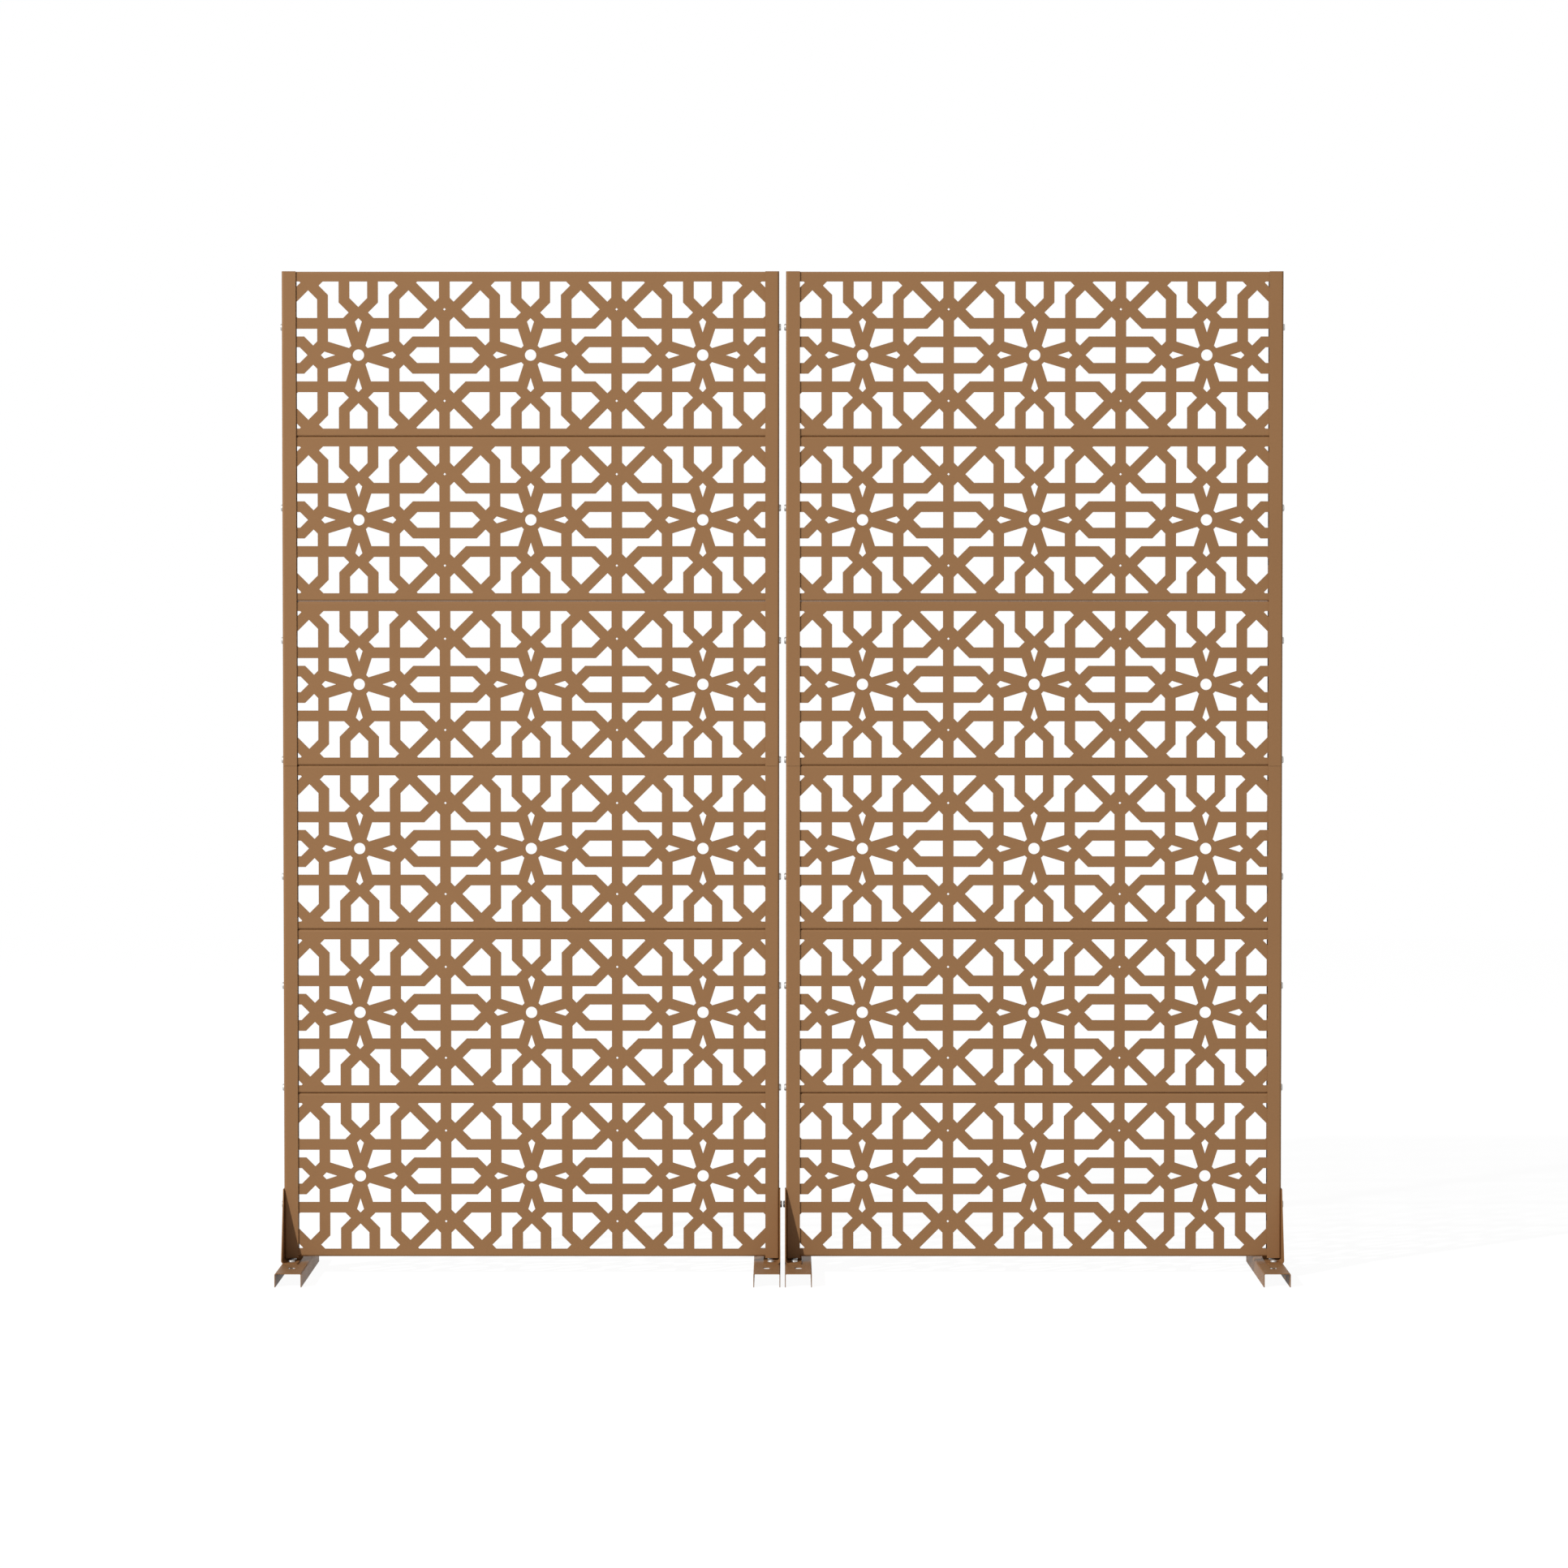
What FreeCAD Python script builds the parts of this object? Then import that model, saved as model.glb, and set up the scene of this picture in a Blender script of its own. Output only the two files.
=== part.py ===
import FreeCAD, Part
import os
import Sketcher

# A pair of free-standing lattice screens for outdoors, in millimetres.
# +Z is up, +X runs along the screens to the viewer's right and +Y runs to the back.
# The origin is on the floor, midway between the two screens and midway through the posts' depth.
# One screen is six trays of folded sheet, stacked between two channel posts.
# Each post is two halves, joined inside by a bar, and stands by a bent bracket on a channel foot.

# Trays in one screen, and rosettes side by side in one tray
ROWS = 6
ROSETTES = 3

# The driving sizes
SIZES = [
    ("panel_width", 900.8, "tray, edge to edge"),
    ("panel_height", 299.7, "tray, bottom edge to top edge"),
    ("panel_sheet", 1.2, "sheet that the trays are folded from"),
    ("panel_bend", 4, "outer radius of the trays' folds"),
    ("seam", 0.3, "gap between one tray and the next"),
    ("side_margin", 19.4, "plain border of a tray at its left and right"),
    ("top_margin", 18, "plain border above the openings"),
    ("bottom_margin", 14.3, "plain border below the openings"),
    ("corner_notch", 8, "width cut out of the top and bottom folds at each corner"),
    ("notch_start", 5, "front face of a tray to the start of the corner notch"),
    ("band", 19.7, "width of the lattice's bands"),
    ("eye_radius", 10.3, "round hole in the middle of a rosette"),
    ("pin_reach", 2.3, "centre to corner of the small holes between rosettes"),
    ("post_face", 25.5, "width of a post's front and back"),
    ("post_depth", 25.4, "post, front to back"),
    ("post_sheet", 2, "sheet that the posts are folded from"),
    ("post_bend", 4, "outer radius of the posts' folds"),
    ("post_joint", 0.4, "gap at the joint of a post's two halves"),
    ("post_below", 2.6, "post below the lowest tray"),
    ("post_above", 0.6, "post above the highest tray"),
    ("tray_clearance", 0.15, "gap between a tray's corner and the fold of the post around it"),
    ("screens_gap", 12.4, "gap between the two screens' posts"),
    ("foot_length", 407, "foot, front to back"),
    ("foot_width", 48.5, "foot, side to side"),
    ("foot_height", 25, "foot, floor to top"),
    ("foot_sheet", 1.5, "sheet that the feet are folded from"),
    ("foot_bend", 3, "outer radius of the feet's folds"),
    ("slot_length", 24, "anchor slot, front to back"),
    ("slot_width", 13, "anchor slot, side to side"),
    ("slot_reach", 118, "middle of the post to the centre of an anchor slot"),
    ("bracket_sheet", 2, "sheet that the brackets are folded from"),
    ("bracket_bend", 4.5, "inner radius of the bracket's fold"),
    ("bracket_height", 132.5, "bracket, foot to top"),
    ("bracket_base", 124, "bracket, front to back at its base"),
    ("bracket_top", 30, "bracket, front to back at its top"),
    ("bracket_heel", 8, "height over which the bracket's edges are upright"),
    ("bracket_flange", 30.5, "bracket's foot flange, side to side"),
    ("bracket_corner", 3, "radius of the bracket's free corners"),
    ("post_lift", 4, "gap between the foot flange and the end of the post"),
    ("bar_sheet", 3, "thickness of the bar inside a post's joint"),
    ("bar_width", 14, "width of the bar inside a post's joint"),
    ("bar_end", 14, "last bolt to the end of the bar"),
    ("thread", 6, "bolts' thread, outside"),
    ("bolt_hole", 7, "clearance holes for the bolts"),
    ("nut_play", 0.15, "gap between a bolt and its nut's bore"),
    ("nut_flats", 10, "nut, flat to flat"),
    ("nut_height", 5, "thickness of a nut"),
    ("head_width", 12.6, "bolt head, where it seats"),
    ("head_crown", 8, "bolt head, across its flat crown"),
    ("head_height", 3.2, "height of a bolt head"),
    ("bolt_length", 16, "length of a bolt under its head"),
    ("foot_bolt_across", 17, "outside of a foot to its bolts"),
    ("foot_bolt_reach", 39, "middle of the post to a foot bolt"),
    ("overrun", 5, "how far a cut runs past what it cuts"),
]

# Places in the lattice, as shares of a rosette's pitch across or of its cell's height up.
# The diagonals are given by the height where they cross the rosette's upright axis.
SHARES = [
    ("end_cell_share", 0.374, "last rosette's centre to the end of the openings"),
    ("field_share", 0.8524, "height of the openings"),
    ("side_band_share", 0.2077, "upright bands beside a rosette"),
    ("row_band_share", 0.1838, "long level bands"),
    ("mid_band_share", 0.0767, "short level bands between rosettes"),
    ("star_rise_share", 0.2345, "rising diagonal above a rosette's middle"),
    ("upper_rise_share", 0.1283, "rising diagonal at a rosette's shoulder"),
    ("lower_drop_share", 0.1807, "rising diagonal below the shoulder"),
    ("arrow_drop_share", 0.2512, "rising diagonal between rosettes"),
    ("outer_fall_share", 0.7114, "falling diagonal between rosettes"),
    ("shoulder_fall_share", 0.6331, "falling cut at the top of a horn"),
    ("tip_fall_share", 0.3033, "falling cut at the foot of a horn"),
    ("notch_fall_share", 0.3188, "falling cut at the heel of a boot"),
    ("arch_share", 0.0513, "half width of an arch"),
    ("horn_share", 0.1144, "inner side of a horn"),
    ("petal_top_share", 0.0730, "petal, across at its top"),
    ("petal_side_share", 0.0784, "petal, up at its side"),
    ("petal_near_share", 0.0411, "petal's tip, near the axes"),
    ("petal_far_share", 0.0539, "petal's tip, away from the axes"),
    ("kite_top_share", 0.2142, "outer point of the upright kites"),
    ("kite_side_share", 0.2180, "outer point of the level kites"),
    ("kite_half_share", 0.0201, "half width of a kite, and depth of its blunt end"),
    ("kite_length_share", 0.0829, "length of a kite"),
    ("pin_share", 0.2655, "height of the small holes between rosettes"),
]

# Heights of the side bolts in each tray, from the lowest tray up, as shares of the tray's height
BOLT_SHARES = [[0.318], [0.033, 0.656], [0.322], [0.034, 0.761], [0.567], [0.664]]

# Values worked out from the driving sizes
LAYOUT = [
    ("tray_gap", "Sizes.tray_clearance + (Sizes.post_bend - Sizes.post_sheet) * (1 - 1 / sqrt(2))"),
    ("panel_depth", "Sizes.post_depth - 2 * (Sizes.post_sheet + Layout.tray_gap)"),
    ("screen_width", "Sizes.panel_width + 2 * (Sizes.post_sheet + Layout.tray_gap)"),
    ("screen_shift", "(Layout.screen_width + Sizes.screens_gap) / 2"),
    ("row_pitch", "Sizes.panel_height + Sizes.seam"),
    ("post_bottom", "Sizes.foot_height + Sizes.bracket_sheet + Sizes.post_lift"),
    ("first_row", "Layout.post_bottom + Sizes.post_below"),
    ("stack_height", f"{ROWS} * Layout.row_pitch - Sizes.seam"),
    ("post_length", "Sizes.post_below + Layout.stack_height + Sizes.post_above"),
    ("half_post", "(Layout.post_length - Sizes.post_joint) / 2"),
    ("upper_post", "Layout.post_bottom + Layout.half_post + Sizes.post_joint"),
    ("field_height", "Sizes.panel_height - Sizes.top_margin - Sizes.bottom_margin"),
    ("top_z", "Layout.field_height / 2"),
    ("below_centre", "Layout.top_z + Sizes.bottom_margin"),
    ("above_centre", "Layout.top_z + Sizes.top_margin"),
    ("pitch", "(Sizes.panel_width - 2 * Sizes.side_margin)"
              f" / ({ROSETTES} - 1 + 2 * Sizes.end_cell_share)"),
    ("cell", "Layout.field_height / Sizes.field_share"),
    ("lean", "Layout.cell / Layout.pitch"),
    ("half_band", "Sizes.band / 2"),
    ("skew", "Layout.half_band * sqrt(1 + Layout.lean ^ 2)"),
    ("near_x", "Sizes.side_band_share * Layout.pitch - Layout.half_band"),
    ("far_x", "Sizes.side_band_share * Layout.pitch + Layout.half_band"),
    ("mid_x", "Layout.pitch / 2 - Layout.half_band"),
    ("end_x", "Sizes.end_cell_share * Layout.pitch"),
    ("low_z", "Sizes.row_band_share * Layout.cell - Layout.half_band"),
    ("high_z", "Sizes.row_band_share * Layout.cell + Layout.half_band"),
    ("arrow_z", "Sizes.mid_band_share * Layout.cell - Layout.half_band"),
    ("boot_z", "Sizes.mid_band_share * Layout.cell + Layout.half_band"),
    ("star_under", "Sizes.star_rise_share * Layout.cell - Layout.skew"),
    ("star_over", "Sizes.star_rise_share * Layout.cell + Layout.skew"),
    ("upper_under", "Sizes.upper_rise_share * Layout.cell - Layout.skew"),
    ("upper_over", "Sizes.upper_rise_share * Layout.cell + Layout.skew"),
    ("lower_under", "-Sizes.lower_drop_share * Layout.cell - Layout.skew"),
    ("lower_over", "-Sizes.lower_drop_share * Layout.cell + Layout.skew"),
    ("arrow_under", "-Sizes.arrow_drop_share * Layout.cell - Layout.skew"),
    ("arrow_over", "-Sizes.arrow_drop_share * Layout.cell + Layout.skew"),
    ("outer_under", "Sizes.outer_fall_share * Layout.cell - Layout.skew"),
    ("outer_over", "Sizes.outer_fall_share * Layout.cell + Layout.skew"),
    ("shoulder", "Sizes.shoulder_fall_share * Layout.cell"),
    ("tip", "Sizes.tip_fall_share * Layout.cell"),
    ("notch", "Sizes.notch_fall_share * Layout.cell"),
    ("arch_x", "Sizes.arch_share * Layout.pitch"),
    ("horn_x", "Sizes.horn_share * Layout.pitch"),
    ("kite_x", "Sizes.kite_half_share * Layout.pitch"),
    ("kite_z", "Sizes.kite_half_share * Layout.cell"),
]

doc = FreeCAD.newDocument("lattice_screens")
parts = []


def fill_sheet(name, rows):
    """A spreadsheet with one named value in each row."""
    sheet = doc.addObject("Spreadsheet::Sheet", name)
    for number, (alias, content, *note) in enumerate(rows, start=1):
        sheet.set(f"A{number}", alias)
        sheet.set(f"B{number}", content if isinstance(content, str) else str(content))
        sheet.setAlias(f"B{number}", alias)
        sheet.set(f"C{number}", " ".join(note))
    doc.recompute()
    return sheet


fill_sheet("Sizes", SIZES + SHARES)
layout = fill_sheet("Layout", [(name, "=" + text.replace("Layout.", "")) for name, text in LAYOUT])


def value(text):
    """The number that an expression on the two sheets gives."""
    return float(layout.evalExpression(text))


def origin_part(body, role):
    """A plane or axis of the body's own origin."""
    return next(item for item in body.Origin.OriginFeatures if item.Role == role)


def new_sketch(body, role, name, along="0"):
    """A sketch on an origin plane of its body, its own origin moved along its first axis."""
    sketch = body.newObject("Sketcher::SketchObject", name)
    sketch.AttachmentSupport = (origin_part(body, role), [""])
    sketch.MapMode = "FlatFace"
    sketch.setExpression("AttachmentOffset.Base.x", along)
    return sketch


def constrain(sketch, relations):
    """Adds relations to a sketch: each a constraint, and the expression that drives it or None."""
    added = sketch.addConstraint([relation for relation, _ in relations])
    for index, (_, text) in zip(added, relations):
        if text:
            sketch.setExpression(f"Constraints[{index}]", text)


def held_point(curve, end, place):
    """The relations that hold one point of a curve at two expressions."""
    return [(Sketcher.Constraint(kind, curve, end, value(text)), text)
            for kind, text in zip(("DistanceX", "DistanceY"), place)]


def draw_outline(sketch, points):
    """A closed outline of straight lines through points given as pairs of expressions."""
    corners = [FreeCAD.Vector(value(x), value(y), 0) for x, y in points]
    following = corners[1:] + corners[:1]
    first = sketch.GeometryCount
    sketch.addGeometry([Part.LineSegment(*ends) for ends in zip(corners, following)], False)
    relations = []
    for number, place in enumerate(points):
        after = first + (number + 1) % len(points)
        relations.append((Sketcher.Constraint("Coincident", first + number, 2, after, 1), None))
        relations += held_point(first + number, 1, place)
    constrain(sketch, relations)


def draw_circle(sketch, place, radius):
    """A circle at a pair of expressions."""
    centre = FreeCAD.Vector(value(place[0]), value(place[1]), 0)
    curve = sketch.addGeometry(Part.Circle(centre, FreeCAD.Vector(0, 0, 1), value(radius)), False)
    size = (Sketcher.Constraint("Radius", curve, value(radius)), radius)
    constrain(sketch, held_point(curve, 3, place) + [size])


def draw_rectangle(sketch, left, right, bottom, top):
    draw_outline(sketch, [(left, bottom), (right, bottom), (right, top), (left, top)])


def pad(body, sketch, name, length, symmetric=False, reverse=False):
    feature = body.newObject("PartDesign::Pad", name)
    feature.Profile = sketch
    feature.SideType = "Symmetric" if symmetric else "One side"
    feature.Reversed = reverse
    feature.setExpression("Length", length)
    doc.recompute()
    return feature


def pocket(body, sketch, name, both=False, reverse=False):
    """A cut through all that the sketch faces, and a check that it took something away."""
    before = body.Shape.Volume
    feature = body.newObject("PartDesign::Pocket", name)
    feature.Profile = sketch
    feature.SideType = "Symmetric" if both else "One side"
    feature.Reversed = reverse
    feature.Type = "ThroughAll"
    doc.recompute()
    if not feature.Shape.Volume < before:
        raise RuntimeError(f"{body.Label}: {name} cuts nothing")
    return feature


def near(first, second):
    """Whether two measured lengths agree, judged against the shortest driving size."""
    return abs(first - second) < value("Sizes.nut_play") / 10


def round_edges(body, name, radius, run, belongs):
    """A fillet on the straight edges that run along the given axes and whose ends pass the test."""
    tip = body.Tip
    chosen = []
    for number, edge in enumerate(tip.Shape.Edges, start=1):
        ends = [vertex.Point for vertex in edge.Vertexes]
        if len(ends) != 2 or edge.Curve.TypeId != "Part::GeomLine":
            continue
        along = max("xyz", key=lambda letter: abs(getattr(ends[1] - ends[0], letter)))
        if along in run and all(map(belongs, ends)):
            chosen.append(f"Edge{number}")
    feature = body.newObject("PartDesign::Fillet", name)
    feature.Base = (tip, chosen)
    feature.setExpression("Radius", radius)
    doc.recompute()
    return feature


def add_part(item, label, x="0", y="0", z="0", turned=False):
    """Labels an object as one piece of the screens and sets its place."""
    half_turn = FreeCAD.Rotation(FreeCAD.Vector(0, 0, 1), 180 if turned else 0)
    item.Label = label
    item.Placement = FreeCAD.Placement(FreeCAD.Vector(), half_turn)
    for axis, text in (("x", x), ("y", y), ("z", z)):
        item.setExpression(f"Placement.Base.{axis}", text)
    parts.append(item)


def copy_body(pattern, label):
    """A body of its own that starts from the finished shape of another."""
    body = doc.addObject("PartDesign::Body", label)
    body.BaseFeature = pattern
    doc.recompute()
    return body


def drill(body, heights, name="bolt_holes"):
    """Clearance holes for bolts along X, at the middle of the depth."""
    sketch = new_sketch(body, "YZ_Plane", name + "_sketch")
    for height in heights:
        draw_circle(sketch, ("0", height), "Sizes.bolt_hole / 2")
    pocket(body, sketch, name, both=True)


# The lattice's openings.
# A rosette has eight arms round an eye, and its cell is crossed by level, upright and leaning bands.
# Every leaning band rises or falls by the same slope, one in one when the cell is square.
# Points are measured from the rosette's centre, in its upper right quarter.

def on_rise(x, height):
    """The point at x on the rising line that crosses the axis at a height."""
    return (x, f"{height} + Layout.lean * {x}")


def on_fall(x, height):
    return (x, f"{height} - Layout.lean * {x}")


def rise_at(z, height):
    """The point at level z on the rising line that crosses the axis at a height."""
    return (f"({z} - {height}) / Layout.lean", z)


def fall_at(z, height):
    return (f"({height} - {z}) / Layout.lean", z)


def cross(rise, fall):
    """Where a rising and a falling line meet."""
    return (f"({fall} - {rise}) / (2 * Layout.lean)", f"({fall} + {rise}) / 2")


def turned_over(points, right, up):
    """The same outline mirrored across the axes, for signs of -1."""
    return [(f"{right} * ({x})", f"{up} * ({z})") for x, z in points]


def shifted(points, distance):
    return [(f"{x} - {distance}", z) for x, z in points]


def both_sides(points):
    """A whole outline from its right half, listed from one point on the upright axis to the other."""
    left = turned_over(points[::-1], -1, 1)
    return points + [point for point, mate in zip(left, points[::-1]) if mate[0] != "0"]


arch = both_sides([
    ("0", "Layout.star_over"),
    on_rise("Layout.arch_x", "Layout.star_over"),
    ("Layout.arch_x", "Layout.top_z"),
])
horn = [
    ("Layout.horn_x", "Layout.top_z"),
    fall_at("Layout.top_z", "Layout.shoulder"),
    cross("Layout.upper_over", "Layout.shoulder"),
    on_rise("Layout.near_x", "Layout.upper_over"),
    ("Layout.near_x", "Layout.high_z"),
    fall_at("Layout.high_z", "Layout.tip"),
    cross("Layout.star_under", "Layout.tip"),
    on_rise("Layout.horn_x", "Layout.star_under"),
]
petal = [
    ("Layout.near_x", "Layout.low_z"),
    ("Sizes.petal_top_share * Layout.pitch", "Layout.low_z"),
    ("Sizes.petal_near_share * Layout.pitch", "Sizes.petal_far_share * Layout.cell"),
    ("Sizes.petal_far_share * Layout.pitch", "Sizes.petal_near_share * Layout.cell"),
    ("Layout.near_x", "Sizes.petal_side_share * Layout.cell"),
]
upright_kite = both_sides([
    ("0", "Sizes.kite_top_share * Layout.cell"),
    ("Layout.kite_x", "Sizes.kite_top_share * Layout.cell - Layout.kite_z"),
    ("0", "(Sizes.kite_top_share - Sizes.kite_length_share) * Layout.cell"),
])
level_kite = [
    ("Sizes.kite_side_share * Layout.pitch", "0"),
    ("Sizes.kite_side_share * Layout.pitch - Layout.kite_x", "Layout.kite_z"),
    ("(Sizes.kite_side_share - Sizes.kite_length_share) * Layout.pitch", "0"),
    ("Sizes.kite_side_share * Layout.pitch - Layout.kite_x", "-Layout.kite_z"),
]
pin = [
    ("Layout.pitch / 2", "Sizes.pin_share * Layout.cell + Sizes.pin_reach"),
    ("Layout.pitch / 2 + Sizes.pin_reach", "Sizes.pin_share * Layout.cell"),
    ("Layout.pitch / 2", "Sizes.pin_share * Layout.cell - Sizes.pin_reach"),
    ("Layout.pitch / 2 - Sizes.pin_reach", "Sizes.pin_share * Layout.cell"),
]
blade = [
    ("Layout.far_x", "Layout.high_z"),
    on_rise("Layout.far_x", "Layout.upper_under"),
    cross("Layout.upper_under", "Layout.outer_under"),
    cross("Layout.lower_over", "Layout.outer_under"),
    rise_at("Layout.high_z", "Layout.lower_over"),
]
corner = [
    rise_at("Layout.top_z", "Layout.upper_under"),
    ("Layout.mid_x", "Layout.top_z"),
    on_rise("Layout.mid_x", "Layout.lower_over"),
    cross("Layout.lower_over", "Layout.outer_over"),
    cross("Layout.upper_under", "Layout.outer_over"),
]
boot = [
    ("Layout.far_x", "Layout.low_z"),
    rise_at("Layout.low_z", "Layout.lower_under"),
    cross("Layout.lower_under", "Layout.outer_under"),
    on_fall("Layout.mid_x", "Layout.outer_under"),
    ("Layout.mid_x", "Layout.boot_z"),
    rise_at("Layout.boot_z", "Layout.arrow_over"),
    cross("Layout.arrow_over", "Layout.notch"),
    on_fall("Layout.far_x", "Layout.notch"),
]
arrow = [
    rise_at("0", "Layout.arrow_under"),
    rise_at("Layout.arrow_z", "Layout.arrow_under"),
    ("Layout.mid_x", "Layout.arrow_z"),
    ("Layout.mid_x", "-Layout.arrow_z"),
    (rise_at("Layout.arrow_z", "Layout.arrow_under")[0], "-Layout.arrow_z"),
]

# At a tray's two ends the post hides the rest of the cell, and the openings stop short
end_blade = [
    *blade[:3],
    on_fall("Layout.end_x", "Layout.outer_under"),
    on_rise("Layout.end_x", "Layout.lower_over"),
    blade[4],
]
end_corner = [
    corner[0],
    ("Layout.end_x", "Layout.top_z"),
    on_fall("Layout.end_x", "Layout.outer_over"),
    corner[4],
]
end_boot = [
    boot[0],
    ("Layout.end_x", "Layout.low_z"),
    ("Layout.end_x", "Layout.boot_z"),
    *boot[5:],
]
end_arrow = [
    *arrow[:2],
    ("Layout.end_x", "Layout.arrow_z"),
    ("Layout.end_x", "-Layout.arrow_z"),
    arrow[4],
]


def rosette_openings(sketch):
    draw_circle(sketch, ("0", "0"), "Sizes.eye_radius")
    for up in (1, -1):
        draw_outline(sketch, turned_over(arch, 1, up))
        draw_outline(sketch, turned_over(upright_kite, 1, up))
        draw_outline(sketch, turned_over(level_kite, up, 1))
        for right in (1, -1):
            draw_outline(sketch, turned_over(horn, right, up))
            draw_outline(sketch, turned_over(petal, right, up))


def between_openings(sketch):
    """The openings between two rosettes, measured from the line midway between them."""
    for up in (1, -1):
        draw_outline(sketch, turned_over(shifted(pin, "Layout.pitch / 2"), 1, up))
        draw_outline(sketch, turned_over(shifted(arrow, "Layout.pitch / 2"), up, 1))
        for right in (1, -1):
            for shape in (blade, corner, boot):
                moved = shifted(shape, "Layout.pitch / 2")
                draw_outline(sketch, turned_over(moved, right, up))


def end_openings(sketch):
    draw_outline(sketch, end_arrow)
    for up in (1, -1):
        for shape in (end_blade, end_corner, end_boot):
            draw_outline(sketch, turned_over(shape, 1, up))


def repeat_across(body, feature, name, count):
    """Repeats a cut along the tray at the rosettes' pitch."""
    pattern = body.newObject("PartDesign::LinearPattern", name)
    pattern.Originals = [feature]
    pattern.Direction = (origin_part(body, "X_Axis"), [""])
    pattern.Mode = "Spacing"
    pattern.setExpression("Offset", "Layout.pitch")
    pattern.Occurrences = count
    body.Tip = pattern
    doc.recompute()
    return pattern


def lattice_tray():
    """One tray: a face sheet with its openings and four folds to the back, round its own centre."""
    body = doc.addObject("PartDesign::Body", "tray_pattern")
    sketch = new_sketch(body, "XZ_Plane", "tray_outline")
    half = "Sizes.panel_width / 2"
    draw_rectangle(sketch, "-" + half, half, "-Layout.below_centre", "Layout.above_centre")
    pad(body, sketch, "tray_block", "Layout.panel_depth", symmetric=True)

    sketch = new_sketch(body, "XZ_Plane", "tray_inside")
    inner = half + " - Sizes.panel_sheet"
    draw_rectangle(sketch, f"-({inner})", inner, "Sizes.panel_sheet - Layout.below_centre",
                   "Layout.above_centre - Sizes.panel_sheet")
    hollow = body.newObject("PartDesign::Pocket", "tray_hollow")
    hollow.Profile = sketch
    hollow.SideType = "Two sides"
    hollow.Type2 = "Length"
    hollow.setExpression("Length", "Layout.panel_depth / 2 + Sizes.overrun")
    hollow.setExpression("Length2", "Layout.panel_depth / 2 - Sizes.panel_sheet")
    doc.recompute()

    front = -value("Layout.panel_depth") / 2
    back_of_face = front + value("Sizes.panel_sheet")
    round_edges(body, "outer_folds", "Sizes.panel_bend", "xz", lambda point: near(point.y, front))
    round_edges(body, "inner_folds", "Sizes.panel_bend - Sizes.panel_sheet", "xz",
                lambda point: near(point.y, back_of_face))

    sketch = new_sketch(body, "XY_Plane", "corner_notches")
    for side in ("", "-"):
        draw_rectangle(sketch, f"{side}({inner} - Sizes.corner_notch)", f"{side}({inner})",
                       "Sizes.notch_start - Layout.panel_depth / 2",
                       "Layout.panel_depth / 2 + Sizes.overrun")
    pocket(body, sketch, "notches", both=True)

    steps = ROSETTES - 1
    sketch = new_sketch(body, "XZ_Plane", "rosette", f"-{steps} * Layout.pitch / 2")
    rosette_openings(sketch)
    cut = pocket(body, sketch, "rosette_cut", reverse=True)
    repeat_across(body, cut, "rosettes", ROSETTES)
    sketch = new_sketch(body, "XZ_Plane", "between", f"-({steps} - 1) * Layout.pitch / 2")
    between_openings(sketch)
    cut = pocket(body, sketch, "between_cut", reverse=True)
    repeat_across(body, cut, "betweens", steps)
    sketch = new_sketch(body, "XZ_Plane", "end", f"{steps} * Layout.pitch / 2")
    end_openings(sketch)
    cut = pocket(body, sketch, "end_cut", reverse=True)
    ends = body.newObject("PartDesign::Mirrored", "ends")
    ends.Originals = [cut]
    ends.MirrorPlane = (origin_part(body, "YZ_Plane"), [""])
    body.Tip = ends
    doc.recompute()
    return body


def half_post():
    """Half a post: a channel that opens along +X, its web's outside at X = 0."""
    body = doc.addObject("PartDesign::Body", "post_pattern")
    face = "Sizes.post_face"
    wall = "Sizes.post_sheet"
    edge = "Sizes.post_depth / 2"
    inner = "(Sizes.post_depth / 2 - Sizes.post_sheet)"
    sketch = new_sketch(body, "XY_Plane", "post_section")
    draw_outline(sketch, [("0", f"-{edge}"), (face, f"-{edge}"), (face, f"-{inner}"),
                          (wall, f"-{inner}"), (wall, inner), (face, inner), (face, edge),
                          ("0", edge)])
    pad(body, sketch, "post_channel", "Layout.half_post")
    sheet = value("Sizes.post_sheet")
    round_edges(body, "outer_folds", "Sizes.post_bend", "z", lambda point: near(point.x, 0)
                and near(abs(point.y), value(edge)))
    round_edges(body, "inner_folds", "Sizes.post_bend - Sizes.post_sheet", "z",
                lambda point: near(point.x, sheet) and near(abs(point.y), value(inner)))
    return body


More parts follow.
